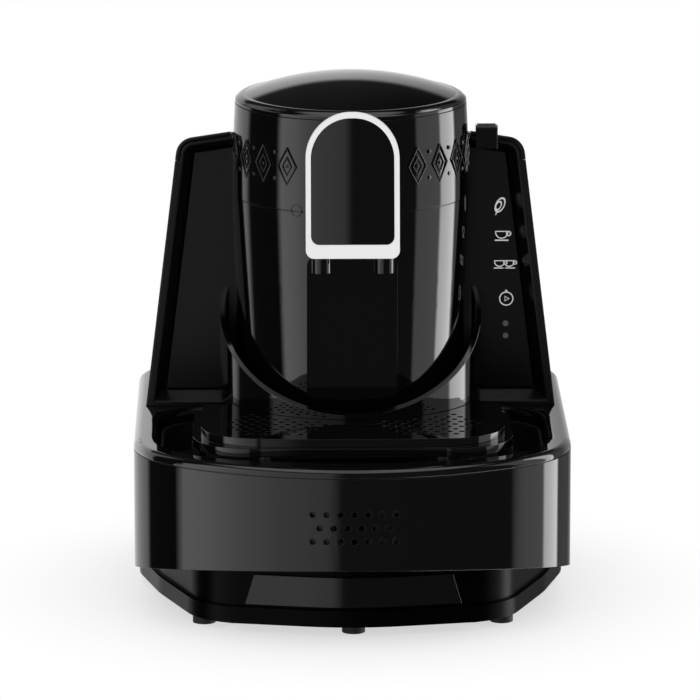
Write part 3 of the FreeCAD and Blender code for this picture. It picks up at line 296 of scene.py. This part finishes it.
def cup_print(x, z, scale):
    """A cup in outline from the side: a half-round bowl, its rim, a handle and a saucer line."""
    rim_z = z + 0.0004 * scale
    bowl = ring_print(x, z, 0.0027 * scale, 0.00028)
    settle(bowl)
    bpy.ops.object.mode_set(mode="EDIT")
    bpy.ops.mesh.select_all(action="SELECT")
    bpy.ops.mesh.bisect(
        plane_co=(x, PANEL_Y, rim_z), plane_no=(0, 0, 1), use_fill=True, clear_outer=True)
    bpy.ops.object.mode_set(mode="OBJECT")
    handle = ring_print(x + 0.0031 * scale, z - 0.0006 * scale, 0.0009 * scale, LINE * scale)
    saucer = bar_print(x, z - 0.0036 * scale, 0.0062 * scale, 0.0006 * scale)
    rim = bar_print(x, rim_z, 0.0056 * scale, 0.0005)
    return [bowl, rim, handle, saucer]


prints = [
    ring_print(LEAF_X, LEAF_Z, 0.0021, LINE, 1.8, LEAF_TURN),
    ring_print(LEAF_X - 0.0008, LEAF_Z - 0.0004, 0.0012, 0.00026, 1.9, LEAF_TURN),
    bar_print(LEAF_X - 0.0017, LEAF_Z - 0.0040, 0.0005, 0.0026, LEAF_TURN)]
prints += cup_print(*ONE_CUP, 1.15)
for x, z in TWO_CUPS:
    prints += cup_print(x, z, 0.95)
prints += [
    ring_print(RINSE_X, RINSE_Z, 0.0034, LINE),
    ring_print(RINSE_X, RINSE_Z, 0.0014, LINE, sides=3),
    bar_print(RINSE_X, RINSE_Z + 0.0041, 0.0012, 0.0008, 0.6)]
join(prints, "key_prints", PRINT, "housing")

# Grip ridges across the tank lid's tab, so that a finger can lift it.
# They follow the slope of the tab's top and ride on the tank's lid.

TAB_X = 0.069
RIDGE_Y, RIDGE_Z = 0.0178, 0.2366
RIDGE_PITCH = 0.0018
RIDGE_DROP = 0.0002

ridges = []
for i in range(5):
    ready()
    bpy.ops.mesh.primitive_cylinder_add(
        vertices=16, radius=0.00045, depth=0.0092, rotation=(0, math.pi / 2, 0),
        location=(TAB_X, RIDGE_Y + RIDGE_PITCH * i, RIDGE_Z - RIDGE_DROP * i))
    ridges.append(bpy.context.object)
join(ridges, "tab_ridges", GLOSS, "tank_cap")

# Studio: a plain white surround for the camera, and soft boxes that only the gloss mirrors.
# Stops are angles in degrees with a brightness, sideways from straight ahead or up from level.

PEAK = 12.0
SIDES = ((-180, 1.0), (-124, 0.9), (-117, 0.03), (-78, 0.03), (-72, 2.0), (-58, 1.8), (-45, 1.3),
         (-30, 0.95), (-9, 0.7), (-4, 0.1), (65, 0.08), (68, 1.1), (96, 1.0), (99, 5.5),
         (120, 5.5), (123, 0.35), (150, 0.15), (165, 0.4), (180, 1.0))
REAR = ((-180, 1), (-150, 1), (-138, 0), (142, 0), (155, 1), (180, 1))
REAR_TOP = ((-180, 0), (19, 0), (23, 1))
REAR_SHADE = 0.94
ABOVE = ((-180, 0.05), (60, 0.05), (67, 1.6), (83, 1.6), (88, 0.2))
LIFTED = ((-180, 0), (46, 0), (56, 1))
ONE_TURN = 1 / (2 * math.pi)
WHITE = (1, 1, 1, 1)


def by_angle(tree, stops, turns, scale=1.0):
    """A grey colour ramp over an angle in turns from half a turn back, with stops in degrees."""
    node = add(tree, "ShaderNodeValToRGB", None, {"Fac": turns})
    line = node.color_ramp
    while len(line.elements) > 1:
        line.elements.remove(line.elements[-1])
    for i, (angle, value) in enumerate(stops):
        place = 0.5 + angle / 360.0
        item = line.elements.new(place) if i else line.elements[0]
        item.position = place
        item.color = (value / scale,) * 3 + (1,)
    return node.outputs["Color"]


scene = bpy.context.scene
scene.view_settings.view_transform = "Standard"
world = bpy.data.worlds.new("studio")
scene.world = world
world.use_nodes = True
tree = world.node_tree
tree.nodes.clear()
way = add(tree, "ShaderNodeTexCoord")
split = add(tree, "ShaderNodeSeparateXYZ", None, {"Vector": way.outputs["Generated"]})
ahead = maths(tree, "MULTIPLY", split.outputs["Y"], -1.0)
turn = maths(tree, "ARCTAN2", split.outputs["X"], ahead)
turn = maths(tree, "MULTIPLY_ADD", turn, ONE_TURN, 0.5)
rise = maths(tree, "ARCSINE", split.outputs["Z"])
rise = maths(tree, "MULTIPLY_ADD", rise, ONE_TURN, 0.5)
hide = maths(tree, "MULTIPLY", by_angle(tree, REAR, turn), by_angle(tree, REAR_TOP, rise))
keep = maths(tree, "SUBTRACT", 1.0, maths(tree, "MULTIPLY", hide, REAR_SHADE))
level = maths(tree, "MULTIPLY", by_angle(tree, SIDES, turn, PEAK), keep)
level = maths(tree, "MULTIPLY", level, PEAK)
over = maths(tree, "MULTIPLY", by_angle(tree, ABOVE, rise, PEAK), PEAK)
lifted = by_angle(tree, LIFTED, rise)
low_part = maths(tree, "MULTIPLY", level, maths(tree, "SUBTRACT", 1.0, lifted))
studio = maths(tree, "ADD", low_part, maths(tree, "MULTIPLY", over, lifted))
rays = add(tree, "ShaderNodeLightPath")
mirrored = add(tree, "ShaderNodeBackground", {"Strength": 1.0}, {"Color": studio})
plain = add(tree, "ShaderNodeBackground", {"Color": WHITE, "Strength": 1.0})
mix = add(tree, "ShaderNodeMixShader", None, {
    0: rays.outputs["Is Glossy Ray"], 1: plain.outputs[0], 2: mirrored.outputs[0]})
add(tree, "ShaderNodeOutputWorld", None, {"Surface": mix.outputs[0]})

# Floor: white paper that keeps a soft shadow near the object.
# It fades to pure white for the camera between two distances from the middle.

FLOOR_RADIUS = 6.0
FADE_START = 0.1
FADE_END = 0.2
NEAR_WHITE = 0.6

ready()
bpy.ops.mesh.primitive_circle_add(
    vertices=64, radius=FLOOR_RADIUS, fill_type="NGON", location=(0, 0, 0))
floor = bpy.context.object
floor.name = "studio_floor"
floor.visible_glossy = False
paper = bpy.data.materials.new("white_paper_floor")
paper.use_nodes = True
tree = paper.node_tree
tree.nodes.clear()
place = add(tree, "ShaderNodeTexCoord")
far = add(tree, "ShaderNodeVectorMath", {"operation": "LENGTH"}, {0: place.outputs["Object"]})
fade = add(tree, "ShaderNodeMapRange", {
    "From Min": FADE_START, "From Max": FADE_END, "To Min": NEAR_WHITE},
    {"Value": far.outputs["Value"]})
matte = add(tree, "ShaderNodeBsdfDiffuse", {"Color": (0.93, 0.93, 0.93, 1)})
glow = add(tree, "ShaderNodeEmission", {"Color": WHITE, "Strength": 1.0})
rays = add(tree, "ShaderNodeLightPath")
seen = maths(tree, "MULTIPLY", fade.outputs["Result"], rays.outputs["Is Camera Ray"])
mix = add(tree, "ShaderNodeMixShader", None, {0: seen, 1: matte.outputs[0], 2: glow.outputs[0]})
add(tree, "ShaderNodeOutputMaterial", None, {"Surface": mix.outputs[0]})
floor.data.materials.append(paper)

# Camera: far off with a long lens, a little above the object and swung slightly to its left.
# The focal length and the picture's centre are in pixels of a picture 700 pixels wide.

PICTURE = 700.0
FOCAL = 6309.9
CENTRE_X, CENTRE_Y = 351.0, 319.2
SENSOR = 36.0
DISTANCE = 3.2
RISE = math.radians(12.0)
SWING = math.radians(0.8)
AIM = Vector((0.0, 0.0, 0.140))

camera_data = bpy.data.cameras.new("camera")
camera = bpy.data.objects.new("camera", camera_data)
scene.collection.objects.link(camera)
camera.location = AIM + DISTANCE * Vector((
    -math.sin(SWING) * math.cos(RISE), -math.cos(SWING) * math.cos(RISE), math.sin(RISE)))
camera.rotation_euler = (AIM - camera.location).to_track_quat("-Z", "Y").to_euler()
camera_data.sensor_width = SENSOR
camera_data.lens = FOCAL * SENSOR / PICTURE
camera_data.shift_x = (PICTURE / 2 - CENTRE_X) / PICTURE
camera_data.shift_y = (CENTRE_Y - PICTURE / 2) / PICTURE
camera_data.clip_end = 50.0
scene.camera = camera
